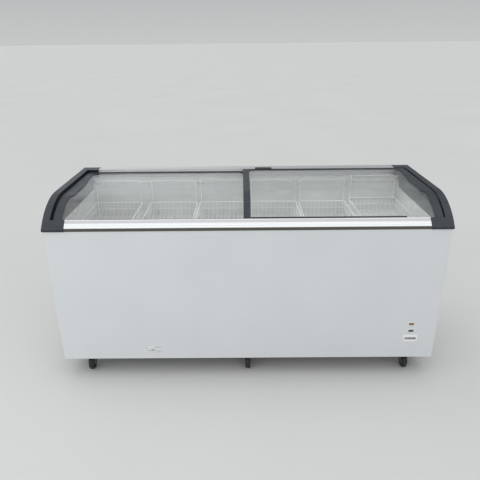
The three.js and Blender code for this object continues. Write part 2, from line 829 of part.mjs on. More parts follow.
// ---- assembly ----
frontPanel();
sidePanel("left_side_panel", -1);
sidePanel("right_side_panel", 1);
rearPanel();
machineGrille();
base();
innerTub();
trimStrips();
insulation();
evaporatorCoil();
endFrame("left_end_frame", -1);
endFrame("right_end_frame", 1);
frontRail();
rearRail();
slidingLid("left_lid", lowerTrack, -1, [-12, 16]);
slidingLid("right_lid", upperTrack, 1, [-16, 16]);
basketCentres.forEach((x, i) => basket(`basket_${i + 1}`, x, i === raisedBasket ? raisedBy : 0));
controls();
refrigeration();
for (const [row, y] of [
  ["front", -casterY],
  ["rear", casterY],
]) {
  ["left", "middle", "right"].forEach((place, i) => caster(`${row}_${place}_caster`, casterX[i], y));
}

export default freezer;
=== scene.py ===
import math

import bmesh
import bpy
from mathutils import Matrix, Vector


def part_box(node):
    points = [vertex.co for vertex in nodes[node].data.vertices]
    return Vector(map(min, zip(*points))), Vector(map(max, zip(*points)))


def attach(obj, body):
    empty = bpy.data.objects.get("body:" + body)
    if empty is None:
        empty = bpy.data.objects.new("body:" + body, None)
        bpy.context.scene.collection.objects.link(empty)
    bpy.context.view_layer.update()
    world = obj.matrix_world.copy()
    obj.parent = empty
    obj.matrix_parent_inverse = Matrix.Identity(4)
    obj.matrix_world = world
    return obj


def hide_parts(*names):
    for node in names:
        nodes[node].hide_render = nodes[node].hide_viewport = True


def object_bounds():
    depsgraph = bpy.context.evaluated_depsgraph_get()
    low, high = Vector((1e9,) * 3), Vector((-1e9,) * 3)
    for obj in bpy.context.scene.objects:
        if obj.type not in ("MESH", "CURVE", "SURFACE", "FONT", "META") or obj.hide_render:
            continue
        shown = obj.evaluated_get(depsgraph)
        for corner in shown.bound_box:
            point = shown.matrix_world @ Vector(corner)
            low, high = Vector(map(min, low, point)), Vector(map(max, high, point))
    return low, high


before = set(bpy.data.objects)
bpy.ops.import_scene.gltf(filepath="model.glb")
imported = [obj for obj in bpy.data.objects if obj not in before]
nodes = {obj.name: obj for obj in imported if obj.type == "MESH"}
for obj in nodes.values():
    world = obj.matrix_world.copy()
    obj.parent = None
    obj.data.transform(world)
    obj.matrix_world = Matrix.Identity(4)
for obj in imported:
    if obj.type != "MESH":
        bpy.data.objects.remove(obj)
cadLow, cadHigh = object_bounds()
scene = bpy.context.scene
print("frame loaded")


# camera, floor and lights
view = {"place": (-0.0219, -2.291, 1.5313), "down": 22.427, "roll": -0.553, "turn": 0.310, "lens": 36.08}

cameraData = bpy.data.cameras.new("camera")
cameraData.sensor_width = 36
cameraData.lens = view["lens"]
camera = bpy.data.objects.new("camera", cameraData)
scene.collection.objects.link(camera)
camera.matrix_world = (
    Matrix.Translation(view["place"])
    @ Matrix.Rotation(math.radians(view["turn"]), 4, "Z")
    @ Matrix.Rotation(math.radians(90 - view["down"]), 4, "X")
    @ Matrix.Rotation(math.radians(view["roll"]), 4, "Z")
)
scene.camera = camera
scene.view_settings.view_transform = "Standard"


def tone(red, green, blue):
    return tuple((c / 255) ** 2.2 for c in (red, green, blue)) + (1.0,)


def times(tree, first, second):
    node = tree.nodes.new("ShaderNodeMath")
    node.operation = "MULTIPLY"
    tree.links.new(first, node.inputs[0])
    tree.links.new(second, node.inputs[1])
    return node.outputs[0]


def blended(tree, share, first, second):
    mix = tree.nodes.new("ShaderNodeMix")
    mix.data_type = "RGBA"
    tree.links.new(share, mix.inputs[0])
    for socket, colour in ((mix.inputs[6], first), (mix.inputs[7], second)):
        if isinstance(colour, tuple):
            socket.default_value = colour
        else:
            tree.links.new(colour, socket)
    return mix.outputs[2]


studio = {
    "skyStops": [(0.0, (150, 152, 154)), (0.50, (206, 207, 207)), (0.53, (198, 199, 200)),
                 (0.60, (140, 143, 145)), (0.80, (176, 179, 182)), (1.0, (214, 217, 220))],
    "skyStrength": 0.9,
    "window": {"colour": (226, 230, 233), "x": (0.22, -0.30), "y": (0.3, 0.8), "z": (0.06, 0.2)},
    "sun": {"at": (-1.0, -3.0, 5.0), "spread": 130, "watts": 1.62},
    "fill": {"at": (-2.6, -2.3, 1.7), "aim": (-0.5, 0, 0.45), "size": 1.6, "watts": 7},
    "floorSize": 900,
}


def buildStudio():
    world = bpy.data.worlds.new("studioSky")
    scene.world = world
    world.use_nodes = True
    tree = world.node_tree
    place = tree.nodes.new("ShaderNodeTexCoord")
    split = tree.nodes.new("ShaderNodeSeparateXYZ")
    height = tree.nodes.new("ShaderNodeMapRange")
    height.inputs["From Min"].default_value = -1
    ramp = tree.nodes.new("ShaderNodeValToRGB")
    for spot, colour in studio["skyStops"][1:-1]:
        ramp.color_ramp.elements.new(spot)
    for element, (spot, colour) in zip(ramp.color_ramp.elements, studio["skyStops"]):
        element.position = spot
        element.color = tone(*colour)
    tree.links.new(place.outputs["Generated"], split.inputs[0])
    tree.links.new(split.outputs["Z"], height.inputs["Value"])
    tree.links.new(height.outputs["Result"], ramp.inputs["Fac"])
    glow = None
    for axis in "XYZ":
        start, end = studio["window"][axis.lower()]
        reach = tree.nodes.new("ShaderNodeMapRange")
        reach.interpolation_type = "SMOOTHSTEP"
        low, high = sorted((start, end))
        reach.inputs["From Min"].default_value = low
        reach.inputs["From Max"].default_value = high
        reach.inputs["To Min"].default_value = 0 if start < end else 1
        reach.inputs["To Max"].default_value = 1 if start < end else 0
        tree.links.new(split.outputs[axis], reach.inputs["Value"])
        glow = reach.outputs["Result"] if glow is None else times(tree, glow, reach.outputs["Result"])
    sky = blended(tree, glow, ramp.outputs["Color"], tone(*studio["window"]["colour"]))
    tree.links.new(sky, tree.nodes["Background"].inputs["Color"])
    tree.nodes["Background"].inputs["Strength"].default_value = studio["skyStrength"]
    for name, kind in (("sun", "SUN"), ("fill", "AREA")):
        spec = studio[name]
        data = bpy.data.lights.new(name, kind)
        data.energy = spec["watts"]
        if kind == "SUN":
            data.angle = math.radians(spec["spread"])
        else:
            data.size = spec["size"]
        light = bpy.data.objects.new(name, data)
        light.location = spec["at"]
        aim = Vector(spec.get("aim", (0, 0, 0))) - Vector(spec["at"])
        light.rotation_euler = aim.to_track_quat("-Z", "Y").to_euler()
        light.visible_camera = False
        scene.collection.objects.link(light)


buildStudio()
print("studio ready")


# finishes
def newFinish(name):
    finish = bpy.data.materials.new(name)
    finish.use_nodes = True
    tree = finish.node_tree
    place = tree.nodes.new("ShaderNodeTexCoord")
    return finish, tree, tree.nodes["Principled BSDF"], place.outputs["Object"]


def speckle(tree, place, scale, detail=3.0, stretch=None):
    noise = tree.nodes.new("ShaderNodeTexNoise")
    noise.inputs["Scale"].default_value = scale
    noise.inputs["Detail"].default_value = detail
    if stretch:
        squeeze = tree.nodes.new("ShaderNodeMapping")
        squeeze.inputs["Scale"].default_value = stretch
        tree.links.new(place, squeeze.inputs["Vector"])
        place = squeeze.outputs["Vector"]
    tree.links.new(place, noise.inputs["Vector"])
    return noise.outputs["Fac"]


def between(tree, value, low, high, fromLow=0.3, fromHigh=0.7):
    span = tree.nodes.new("ShaderNodeMapRange")
    span.inputs["From Min"].default_value = fromLow
    span.inputs["From Max"].default_value = fromHigh
    span.inputs["To Min"].default_value = low
    span.inputs["To Max"].default_value = high
    tree.links.new(value, span.inputs["Value"])
    return span.outputs["Result"]


def roughen(tree, shader, height, strength, depth):
    bump = tree.nodes.new("ShaderNodeBump")
    bump.inputs["Strength"].default_value = strength
    bump.inputs["Distance"].default_value = depth
    tree.links.new(height, bump.inputs["Height"])
    tree.links.new(bump.outputs["Normal"], shader.inputs["Normal"])


def plainFinish(name, look):
    finish, tree, shader, place = newFinish(name)
    patches = between(tree, speckle(tree, place, look["patch"], 4, look.get("stretch")), 0, 1)
    colour = blended(tree, patches, tone(*look["light"]), tone(*look["dark"]))
    tree.links.new(colour, shader.inputs["Base Color"])
    wear = between(tree, speckle(tree, place, look["patch"] * 2.7, 5, look.get("stretch")), *look["rough"])
    tree.links.new(wear, shader.inputs["Roughness"])
    shader.inputs["Metallic"].default_value = look.get("metal", 0)
    shader.inputs["Coat Weight"].default_value = look.get("coat", 0)
    shader.inputs["Coat Roughness"].default_value = 0.2
    grain = speckle(tree, place, look["grain"], 2, look.get("stretch"))
    roughen(tree, shader, grain, look["bump"], look.get("depth", 0.0004))
    return finish, tree, shader, place, colour


looks = {
    "whiteSheet": {"light": (219, 222, 224), "dark": (214, 218, 220), "patch": 3, "rough": (0.36, 0.46),
                   "grain": 420, "bump": 0.10, "coat": 0.12},
    "charcoalPlastic": {"light": (49, 55, 60), "dark": (40, 46, 51), "patch": 14, "rough": (0.34, 0.46),
                        "grain": 1500, "bump": 0.22},
    "blackPlastic": {"light": (30, 32, 36), "dark": (22, 24, 27), "patch": 20, "rough": (0.30, 0.42),
                     "grain": 1300, "bump": 0.15},
    "linerWhite": {"light": (226, 227, 226), "dark": (219, 221, 220), "patch": 4, "rough": (0.24, 0.36),
                   "grain": 260, "bump": 0.08},
    "basketWire": {"light": (253, 253, 252), "dark": (247, 248, 247), "patch": 18, "rough": (0.28, 0.4),
                   "grain": 700, "bump": 0.12},
    "foam": {"light": (226, 210, 164), "dark": (206, 186, 136), "patch": 30, "rough": (0.8, 0.95),
             "grain": 500, "bump": 0.6},
    "zincSteel": {"light": (158, 160, 162), "dark": (126, 128, 130), "patch": 40, "rough": (0.32, 0.5),
                  "grain": 300, "bump": 0.1, "metal": 0.9},
    "copperTube": {"light": (190, 112, 76), "dark": (142, 80, 54), "patch": 26, "rough": (0.28, 0.44),
                   "grain": 600, "bump": 0.08, "metal": 1},
    "casterTyre": {"light": (52, 52, 54), "dark": (34, 34, 36), "patch": 60, "rough": (0.55, 0.75),
                   "grain": 900, "bump": 0.35},
    "casterHub": {"light": (96, 97, 99), "dark": (78, 79, 82), "patch": 50, "rough": (0.4, 0.55),
                  "grain": 900, "bump": 0.2},
    "whitePlastic": {"light": (240, 240, 239), "dark": (233, 234, 233), "patch": 40, "rough": (0.3, 0.4),
                     "grain": 1600, "bump": 0.12},
    "blackEnamel": {"light": (30, 31, 33), "dark": (20, 21, 22), "patch": 16, "rough": (0.3, 0.42),
                    "grain": 420, "bump": 0.2, "coat": 0.4},
    "loadMark": {"light": (150, 74, 58), "dark": (132, 62, 48), "patch": 60, "rough": (0.4, 0.5),
                 "grain": 900, "bump": 0.1},
    "liquidCrystal": {"light": (158, 160, 160), "dark": (138, 140, 141), "patch": 60, "rough": (0.16, 0.24),
                      "grain": 900, "bump": 0.03, "coat": 0.6},
    "darkDigits": {"light": (66, 67, 70), "dark": (56, 57, 60), "patch": 60, "rough": (0.3, 0.4),
                   "grain": 900, "bump": 0.03},
}
finishes = {name: plainFinish(name, look)[0] for name, look in looks.items()}


scuffs = {"middle": (-0.462, 0.153), "reach": (0.052, 0.026),
          "dark": (166, 170, 174), "light": (240, 241, 242)}


def panelFinish():
    # white powder coat with a small scuffed patch low on the left
    finish, tree, shader, place, colour = plainFinish("frontSheet", looks["whiteSheet"])
    split = tree.nodes.new("ShaderNodeSeparateXYZ")
    tree.links.new(place, split.inputs[0])
    masks = []
    for axis, middle, reach in (("X", scuffs["middle"][0], scuffs["reach"][0]),
                                ("Z", scuffs["middle"][1], scuffs["reach"][1])):
        away = tree.nodes.new("ShaderNodeMath")
        away.operation = "SUBTRACT"
        away.inputs[1].default_value = middle
        tree.links.new(split.outputs[axis], away.inputs[0])
        size = tree.nodes.new("ShaderNodeMath")
        size.operation = "ABSOLUTE"
        tree.links.new(away.outputs[0], size.inputs[0])
        masks.append(between(tree, size.outputs[0], 1, 0, reach * 0.3, reach))
    patch = times(tree, masks[0], masks[1])
    strokes = speckle(tree, place, 62, 4, (0.4, 1, 1.7))
    dark = times(tree, patch, between(tree, strokes, 0, 0.9, 0.50, 0.58))
    light = times(tree, patch, between(tree, strokes, 0.9, 0, 0.42, 0.48))
    marked = blended(tree, dark, colour, tone(*scuffs["dark"]))
    marked = blended(tree, light, marked, tone(*scuffs["light"]))
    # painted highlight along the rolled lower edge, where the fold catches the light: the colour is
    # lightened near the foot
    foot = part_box("front_panel")[0].z
    edge = between(tree, split.outputs["Z"], 0.8, 0, foot + 0.0015, foot + 0.0055)
    tree.links.new(blended(tree, edge, marked, tone(250, 251, 252)), shader.inputs["Base Color"])
    return finish


# bands of painted shade and painted highlight up the rail's height, with the lower lip painted darkest as
# shade
railLook = {"bright": (241, 242, 243), "dull": (227, 228, 229), "metal": 0.72, "capFrom": 0.8066, "paintedShadeBands": [
    (0.0, (106, 103, 97)), (0.0138, (106, 103, 97)), (0.0155, (255, 255, 255)), (0.0310, (255, 255, 255)),
    (0.0325, (216, 216, 216)), (0.0405, (210, 210, 210)), (0.0415, (248, 248, 248))], "tall": 0.045}


def railFinish():
    # anodised aluminium drawn lengthwise, with painted shade in bands up its height, darkest on the lower
    # lip, and painted highlight on the bright bands between
    finish, tree, shader, place = newFinish("railAluminium")
    streaks = between(tree, speckle(tree, place, 1, 3, (1.5, 420, 420)), 0, 1)
    metal = blended(tree, streaks, tone(*railLook["bright"]), tone(*railLook["dull"]))
    split = tree.nodes.new("ShaderNodeSeparateXYZ")
    tree.links.new(place, split.inputs[0])
    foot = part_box("left_end_frame")[0].z + 0.0125
    # painted shade and painted highlight: the metal colour is darkened in bands by height
    climb = between(tree, split.outputs["Z"], 0, 1, foot, foot + railLook["tall"])
    paintedShadeBands = tree.nodes.new("ShaderNodeValToRGB")
    for spot, colour in railLook["paintedShadeBands"][1:-1]:
        paintedShadeBands.color_ramp.elements.new(spot / railLook["tall"])
    for element, (spot, colour) in zip(paintedShadeBands.color_ramp.elements, railLook["paintedShadeBands"]):
        element.position = spot / railLook["tall"]
        element.color = tone(*colour)
    tree.links.new(climb, paintedShadeBands.inputs["Fac"])
    tint = tree.nodes.new("ShaderNodeMix")
    tint.data_type = "RGBA"
    tint.blend_type = "MULTIPLY"
    tint.inputs[0].default_value = 1
    tree.links.new(metal, tint.inputs[6])
    tree.links.new(paintedShadeBands.outputs["Color"], tint.inputs[7])
    # the rear rail is dark at its ends, where the moulded end covers lap over it
    beyond = tree.nodes.new("ShaderNodeMath")
    beyond.operation = "ABSOLUTE"
    tree.links.new(split.outputs["X"], beyond.inputs[0])
    past = between(tree, beyond.outputs[0], 0, 1, railLook["capFrom"], railLook["capFrom"] + 0.0002)
    cap = times(tree, past, between(tree, split.outputs["Y"], 0, 1, 0, 0.01))
    capped = blended(tree, cap, tint.outputs[2], tone(*looks["charcoalPlastic"]["dark"]))
    tree.links.new(capped, shader.inputs["Base Color"])
    tree.links.new(between(tree, streaks, 0.24, 0.34, 0, 1), shader.inputs["Roughness"])
    tree.links.new(between(tree, cap, railLook["metal"], 0, 0, 1), shader.inputs["Metallic"])
    shader.inputs["Anisotropic"].default_value = 0.3
    roughen(tree, shader, streaks, 0.05, 0.0002)
    return finish


glassLook = {"tint": (0.985, 0.990, 0.985, 1), "haze": 0.07}


def glassFinish():
    # thin clear pane: it passes light straight through, mirrors by its index, and carries dust and smears
    finish, tree, shader, place = newFinish("lidGlass")
    clear = tree.nodes.new("ShaderNodeBsdfTransparent")
    clear.inputs["Color"].default_value = glassLook["tint"]
    mirror = tree.nodes.new("ShaderNodeBsdfGlossy")
    mirror.inputs["Color"].default_value = (1, 1, 1, 1)
    smears = between(tree, speckle(tree, place, 5, 5, (1, 2.4, 2.4)), 0.015, 0.09)
    tree.links.new(smears, mirror.inputs["Roughness"])
    fresnel = tree.nodes.new("ShaderNodeFresnel")
    fresnel.inputs["IOR"].default_value = 1.5
    face = tree.nodes.new("ShaderNodeNewGeometry")
    outer = between(tree, face.outputs["Backfacing"], 1, 0, 0, 1)
    gloss = times(tree, fresnel.outputs[0], outer)
    pane = tree.nodes.new("ShaderNodeMixShader")
    tree.links.new(gloss, pane.inputs[0])
    tree.links.new(clear.outputs[0], pane.inputs[1])
    tree.links.new(mirror.outputs[0], pane.inputs[2])
    shader.inputs["Base Color"].default_value = (0.82, 0.85, 0.84, 1)
    shader.inputs["Roughness"].default_value = 0.6
    dust = between(tree, speckle(tree, place, 9, 6), glassLook["haze"] * 0.4, glassLook["haze"] * 1.5)
    whole = tree.nodes.new("ShaderNodeMixShader")
    tree.links.new(dust, whole.inputs[0])
    tree.links.new(pane.outputs[0], whole.inputs[1])
    tree.links.new(shader.outputs[0], whole.inputs[2])
    tree.links.new(whole.outputs[0], tree.nodes["Material Output"].inputs["Surface"])
    return finish


def lensFinish(name, colour, deep):
    # moulded neon lens: coloured, slightly deep, with a fine cast texture
    finish, tree, shader, place = newFinish(name)
    cells = between(tree, speckle(tree, place, 500, 2), 0, 1)
    tree.links.new(blended(tree, cells, tone(*colour), tone(*deep)), shader.inputs["Base Color"])
    tree.links.new(between(tree, cells, 0.12, 0.26, 0, 1), shader.inputs["Roughness"])
    shader.inputs["Coat Weight"].default_value = 0.5
    shader.inputs["Subsurface Weight"].default_value = 0.15
    shader.inputs["Subsurface Radius"].default_value = (0.004, 0.003, 0.002)
    roughen(tree, shader, cells, 0.2, 0.0003)
    return finish


def floorFinish():
    finish, tree, shader, place = newFinish("studioFloor")
    clouds = between(tree, speckle(tree, place, 0.6, 4), 0, 1)
    pale = blended(tree, clouds, tone(216, 216, 214), tone(212, 212, 210))
    tree.links.new(pale, shader.inputs["Base Color"])
    shader.inputs["Roughness"].default_value = 0.85
    roughen(tree, shader, speckle(tree, place, 90, 3), 0.05, 0.001)
    return finish


finishes["frontSheet"] = panelFinish()
finishes["railAluminium"] = railFinish()
finishes["lidGlass"] = glassFinish()
finishes["amberLens"] = lensFinish("amberLens", (146, 116, 52), (118, 92, 38))
finishes["greenLens"] = lensFinish("greenLens", (20, 88, 52), (12, 64, 38))
finishes["studioFloor"] = floorFinish()
print("finishes ready")


# shaping
def settle(name, bm, finish, body, replaced=(), round=0, steps=2, sharp=40, weld=True):
    if weld:
        bmesh.ops.remove_doubles(bm, verts=bm.verts, dist=0.000005)
        bmesh.ops.recalc_face_normals(bm, faces=bm.faces)
    mesh = bpy.data.meshes.new(name)
    bm.to_mesh(mesh)
    bm.free()
    piece = bpy.data.objects.new(name, mesh)
    scene.collection.objects.link(piece)
    mesh.materials.append(finishes[finish])
    mesh.polygons.foreach_set("use_smooth", [True] * len(mesh.polygons))
    if round:
        edges = piece.modifiers.new("edges", "BEVEL")
        edges.width = round
        edges.segments = steps
        edges.limit_method = "ANGLE"
        edges.angle_limit = math.radians(sharp)
        edges.use_clamp_overlap = True
        even = piece.modifiers.new("even", "WEIGHTED_NORMAL")
        even.keep_sharp = True
    else:
        mesh.set_sharp_from_angle(angle=math.radians(sharp))
    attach(piece, body)
    if replaced:
        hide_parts(*replaced)
    return piece


def nodeCopy(node):
    bm = bmesh.new()
    bm.from_mesh(nodes[node].data)
    bmesh.ops.remove_doubles(bm, verts=bm.verts, dist=0.00002)
    bmesh.ops.dissolve_limit(bm, angle_limit=math.radians(0.6), verts=bm.verts, edges=bm.edges)
    return bm


def refined(node, finish, body="cabinet", round=0.001, steps=2):
    return settle(node + "_moulding", nodeCopy(node), finish, body, [node], round, steps)


def addRun(bm, outline, x0, x1):
    # a (y, z) outline pushed along X
    face = bm.faces.new([bm.verts.new((x0, y, z)) for y, z in outline])
    swept = bmesh.ops.extrude_face_region(bm, geom=[face])
    far = [v for v in swept["geom"] if isinstance(v, bmesh.types.BMVert)]
    bmesh.ops.translate(bm, verts=far, vec=(x1 - x0, 0, 0))
    return far


def addBlock(bm, low, high, edge=0.0, steps=2, turn=None):
    size = [h - l for l, h in zip(low, high)]
    place = Matrix.Translation([(l + h) / 2 for l, h in zip(low, high)])
    if turn:
        place = place @ turn
    made = bmesh.ops.create_cube(bm, size=1, matrix=place @ Matrix.Diagonal((*size, 1)))["verts"]
    if edge:
        edges = list({e for v in made for e in v.link_edges})
        bmesh.ops.bevel(bm, geom=made + edges, offset=edge, segments=steps, profile=0.5,
                        affect="EDGES", material=-1)


def addRod(bm, start, end, radius, sides=12, endRadius=None):
    start, end = Vector(start), Vector(end)
    along = end - start
    place = Matrix.Translation((start + end) / 2) @ along.to_track_quat("Z", "Y").to_matrix().to_4x4()
    tip = radius if endRadius is None else endRadius
    bmesh.ops.create_cone(bm, cap_ends=True, segments=sides, radius1=radius, radius2=tip,
                          depth=along.length, matrix=place)


def addTurned(bm, profile, centre, axis, steps=32, closed=True):
    # a profile of (along the axis, out from it) turned right round
    axis = Vector(axis)
    out = axis.orthogonal().normalized()
    verts = [bm.verts.new(Vector(centre) + axis * a + out * r) for a, r in profile]
    first = 0 if closed else 1
    edges = [bm.edges.new((verts[i - 1], verts[i])) for i in range(first, len(verts))]
    bmesh.ops.spin(bm, geom=verts + edges, cent=centre, axis=axis, angle=2 * math.pi,
                   steps=steps, use_merge=True)


def softened(points, radius, steps=4, closed=False):
    # the same path with its corners rounded
    points = [Vector(p) for p in points]
    last = len(points) - 1
    path = []
    for i, corner in enumerate(points):
        if not closed and i in (0, last):
            path.append(corner)
            continue
        before, after = points[i - 1], points[(i + 1) % len(points)]
        cut = min(radius, (before - corner).length * 0.45, (after - corner).length * 0.45)
        enter = corner + (before - corner).normalized() * cut
        leave = corner + (after - corner).normalized() * cut
        for k in range(steps + 1):
            t = k / steps
            path.append(enter * (1 - t) ** 2 + corner * 2 * t * (1 - t) + leave * t ** 2)
    return path


def addWires(bm, paths, radius, closed=False, sides=1):
    curve = bpy.data.curves.new("wire", "CURVE")
    curve.dimensions = "3D"
    curve.bevel_depth = radius
    curve.bevel_resolution = sides
    curve.use_fill_caps = True
    for path in paths:
        spline = curve.splines.new("POLY")
        spline.points.add(len(path) - 1)
        for spot, point in zip(spline.points, path):
            spot.co = (*point, 1)
        spline.use_cyclic_u = closed
    holder = bpy.data.objects.new("wire", curve)
    mesh = bpy.data.meshes.new_from_object(holder)
    bm.from_mesh(mesh)
    bpy.data.objects.remove(holder)
    bpy.data.meshes.remove(mesh)
    bpy.data.curves.remove(curve)


# floor
floor = bmesh.new()
bmesh.ops.create_grid(floor, x_segments=4, y_segments=4, size=studio["floorSize"] / 2)
floorMesh = bpy.data.meshes.new("floor")
floor.to_mesh(floorMesh)
floor.free()
floorPiece = bpy.data.objects.new("floor", floorMesh)
floorMesh.materials.append(finishes["studioFloor"])
scene.collection.objects.link(floorPiece)


# the curved top profile that the rails, end frames and lids follow
top = {"radius": 0.288, "flatFront": 0.227, "railTop": 42.3, "railFoot": 50.3, "fit": 0.0003}
topZ = cadHigh.z
frontY = cadLow.y
archY = frontY + top["flatFront"]
archZ = topZ - top["radius"]


def archPoint(below, degrees):
    angle = math.radians(degrees)
    radius = top["radius"] - below
    return (archY - radius * math.sin(angle), archZ + radius * math.cos(angle))


def archRun(below, start, end, step=1.0):
    count = max(1, math.ceil(abs(end - start) / step))
    return [archPoint(below, start + (end - start) * i / count) for i in range(count + 1)]


# end frames
endFrame = {"outerRound": 0.0024, "edge": 0.0007}


def endFrames():
    for side in ("left", "right"):
        node = side + "_end_frame"
        bm = nodeCopy(node)
        outermost = cadHigh.x - 0.0001
        rim = [e for e in bm.edges if all(abs(v.co.x) > outermost for v in e.verts)]
        bmesh.ops.bevel(bm, geom=rim, offset=endFrame["outerRound"], segments=3, profile=0.5,
                        affect="EDGES", material=-1, clamp_overlap=True)
        settle(node + "_moulding", bm, "charcoalPlastic", "cabinet", [node], endFrame["edge"], 2, 50)


endFrames()


# rails
rail = {"depth": 0.043, "recess": (43.3, 45.4), "recessDepth": 0.0009, "grooveEnd": 47.5,
        "grooves": [(0.0223, 0.0129), (0.0113, 0.0025)], "coverDrop": 0.0028, "coverInner": 0.8007,
        "skirtWall": 0.0022}


def frontRailOutline(drop):
    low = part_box("front_rail")[0]
    foot = archPoint(0, top["railFoot"])
    # the thin lip over the upper track is cut away where a cover sits
    shown = [(deep, shallow) for deep, shallow in rail["grooves"] if shallow > drop]
    start = top["railTop"] if len(shown) == len(rail["grooves"]) else rail["grooveEnd"]
    outer = archRun(drop, start, top["railFoot"])
    if not drop:
        a, b = rail["recess"]
        outer = (archRun(0, top["railTop"], a) + archRun(rail["recessDepth"], a + 0.12, b - 0.12)
                 + archRun(0, b, top["railFoot"]))
    skirtY = low.y
    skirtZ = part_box("left_end_frame")[0].z + 0.0128
    skirt = [(skirtY, foot[1] - 0.002), (skirtY, skirtZ), (skirtY + rail["skirtWall"], skirtZ),
             (skirtY + 0.006, foot[1] - 0.003)]
    inner = archRun(rail["depth"], top["railFoot"], top["railTop"])
    tracks = []
    for deep, shallow in rail["grooves"]:
        tracks += [archPoint(deep, top["railTop"]), archPoint(deep, rail["grooveEnd"])]
        if (deep, shallow) in shown:
            tracks += [archPoint(shallow, rail["grooveEnd"]), archPoint(shallow, top["railTop"])]
    return outer + skirt + inner + tracks


def rails():
    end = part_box("front_rail")[1].x
    inner = rail["coverInner"]
    bm = bmesh.new()
    addRun(bm, frontRailOutline(0), -inner, inner)
    for x0, x1 in ((-end, -inner - top["fit"]), (inner + top["fit"], end)):
        addRun(bm, frontRailOutline(rail["coverDrop"]), x0, x1)
    settle("front_rail_extrusion", bm, "railAluminium", "cabinet", ["front_rail"], 0.0004, 2, 30)
    refined("rear_rail", "railAluminium", round=0.0007)
    refined("rail_stop_block", "blackPlastic", round=0.0006)


rails()
print("rails and end frames made")


# sliding lids
lid = {"frameEdge": 0.0011, "glassEdge": 0.0004}


def lids():
    for name in ("left_lid", "right_lid"):
        refined(name + "_glass", "lidGlass", name, lid["glassEdge"], 2)
        refined(name + "_handle_frame", "charcoalPlastic", name, lid["frameEdge"], 3)
        refined(name + "_centre_frame", "charcoalPlastic", name, lid["frameEdge"], 3)
        refined(name + "_front_glide", "blackPlastic", name, 0.0004, 2)
        refined(name + "_rear_frame", "blackPlastic", name, 0.0005, 2)


lids()
print("lids made")


# sheet metal
sheet = {"roll": 0.0036, "thick": 0.0009, "fold": 0.012}


def openTray(low, high, openFaces, rolled, roll, thick):
    # a folded sheet: a box without some of its faces, with its kept edges rolled
    bm = bmesh.new()
    addBlock(bm, low, high)
    bmesh.ops.recalc_face_normals(bm, faces=bm.faces)
    lost = [f for f in bm.faces if any((f.normal - Vector(n)).length < 0.1 for n in openFaces)]
    bmesh.ops.delete(bm, geom=lost, context="FACES")
    kept = [e for e in bm.edges if len(e.link_faces) == 2 and rolled(e)]
    bmesh.ops.bevel(bm, geom=kept, offset=roll, segments=4, profile=0.5, affect="EDGES", material=-1)
    bmesh.ops.solidify(bm, geom=bm.faces, thickness=thick)
    return bm


def frontPanel():
    low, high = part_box("front_panel")
    bm = openTray(low, (high.x, low.y + sheet["fold"], high.z), [(0, 1, 0), (0, 0, 1)],
                  lambda e: True, sheet["roll"], sheet["thick"])
    settle("front_panel_sheet", bm, "frontSheet", "cabinet", ["front_panel"])


def sidePanels():
    for side in ("left", "right"):
        node = side + "_side_panel"
        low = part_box(node)[0]
        bm = nodeCopy(node)
        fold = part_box("front_panel")[0].y + sheet["fold"] + 0.0004
        for v in bm.verts:
            if v.co.y < low.y + 0.001:
                v.co.y = fold
        settle(node + "_sheet", bm, "whiteSheet", "cabinet", [node], 0.0003, 2)


louvre = {"y": (-0.070, 0.110), "first": 0.190, "pitch": 0.024, "count": 9, "gap": 0.008, "bulge": 0.0034}


def louvreHoods():
    # pressed hoods over the slots, open downwards
    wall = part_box("right_side_panel")[1].x
    bm = bmesh.new()
    y0, y1 = louvre["y"]
    for i in range(louvre["count"]):
        z = louvre["first"] + i * louvre["pitch"]
        topZHere = z + louvre["gap"] + 0.004
        arc = []
        for k in range(7):
            a = math.radians(90 * k / 6)
            arc.append((wall - 0.0002 + louvre["bulge"] * math.sin(a),
                        topZHere - (louvre["gap"] + 0.003) * (1 - math.cos(a))))
        outline = arc + [(x - 0.0009, h) for x, h in reversed(arc[2:])] + [(wall - 0.0002, topZHere - 0.002)]
        face = bm.faces.new([bm.verts.new((x, y0, h)) for x, h in outline])
        swept = bmesh.ops.extrude_face_region(bm, geom=[face])
        far = [v for v in swept["geom"] if isinstance(v, bmesh.types.BMVert)]
        bmesh.ops.translate(bm, verts=far, vec=(0, y1 - y0, 0))
    settle("right_louvre_hoods", bm, "whiteSheet", "cabinet")


def rearSheets():
    refined("rear_panel", "whiteSheet", round=0.0003)
    refined("machine_grille", "whiteSheet", round=0.0004)
    refined("base_pan", "zincSteel", round=0.0003)
    refined("front_base_rail", "zincSteel", round=0.0005)
    refined("rear_base_rail", "zincSteel", round=0.0005)
    refined("drain_plug", "blackPlastic", round=0.0008)
    refined("cable_gland", "blackPlastic", round=0.0005)


screw = {"radius": 0.0046, "rise": 0.0021}


def panelScrews():
    low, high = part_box("rear_panel")
    grilleLow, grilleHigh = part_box("machine_grille")
    spots = [(x, z) for x in (-0.88, -0.44, 0.0, 0.44, 0.88) for z in (low.z + 0.018, high.z - 0.095)]
    spots += [(x, 0.44) for x in (-0.88, 0.56)]
    spots += [(x, z) for x in (grilleLow.x - 0.004, grilleHigh.x + 0.002) for z in (0.2, 0.35, 0.5)]
    bm = bmesh.new()
    for x, z in spots:
        dome = [(0, 0.0001), (0, screw["radius"]), (screw["rise"] * 0.5, screw["radius"] * 0.93),
                (screw["rise"] * 0.85, screw["radius"] * 0.6), (screw["rise"], 0.0001)]
        addTurned(bm, dome, (x, high.y, z), (0, 1, 0), 12)
        for a in (0, 90):
            turn = Matrix.Rotation(math.radians(a + 20), 4, "Y")
            half = (0.0022, 0.0004, 0.0005)
            addBlock(bm, (x - half[0], high.y + screw["rise"] - 0.0002, z - half[2]),
                     (x + half[0], high.y + screw["rise"] + 0.0002, z + half[2]), turn=turn)
    settle("rear_panel_screws", bm, "zincSteel", "cabinet", weld=False)


frontPanel()
sidePanels()
louvreHoods()
rearSheets()
panelScrews()
print("sheet metal made")


# tub and trim
tub = {"cove": 0.009, "wall": 0.0025}


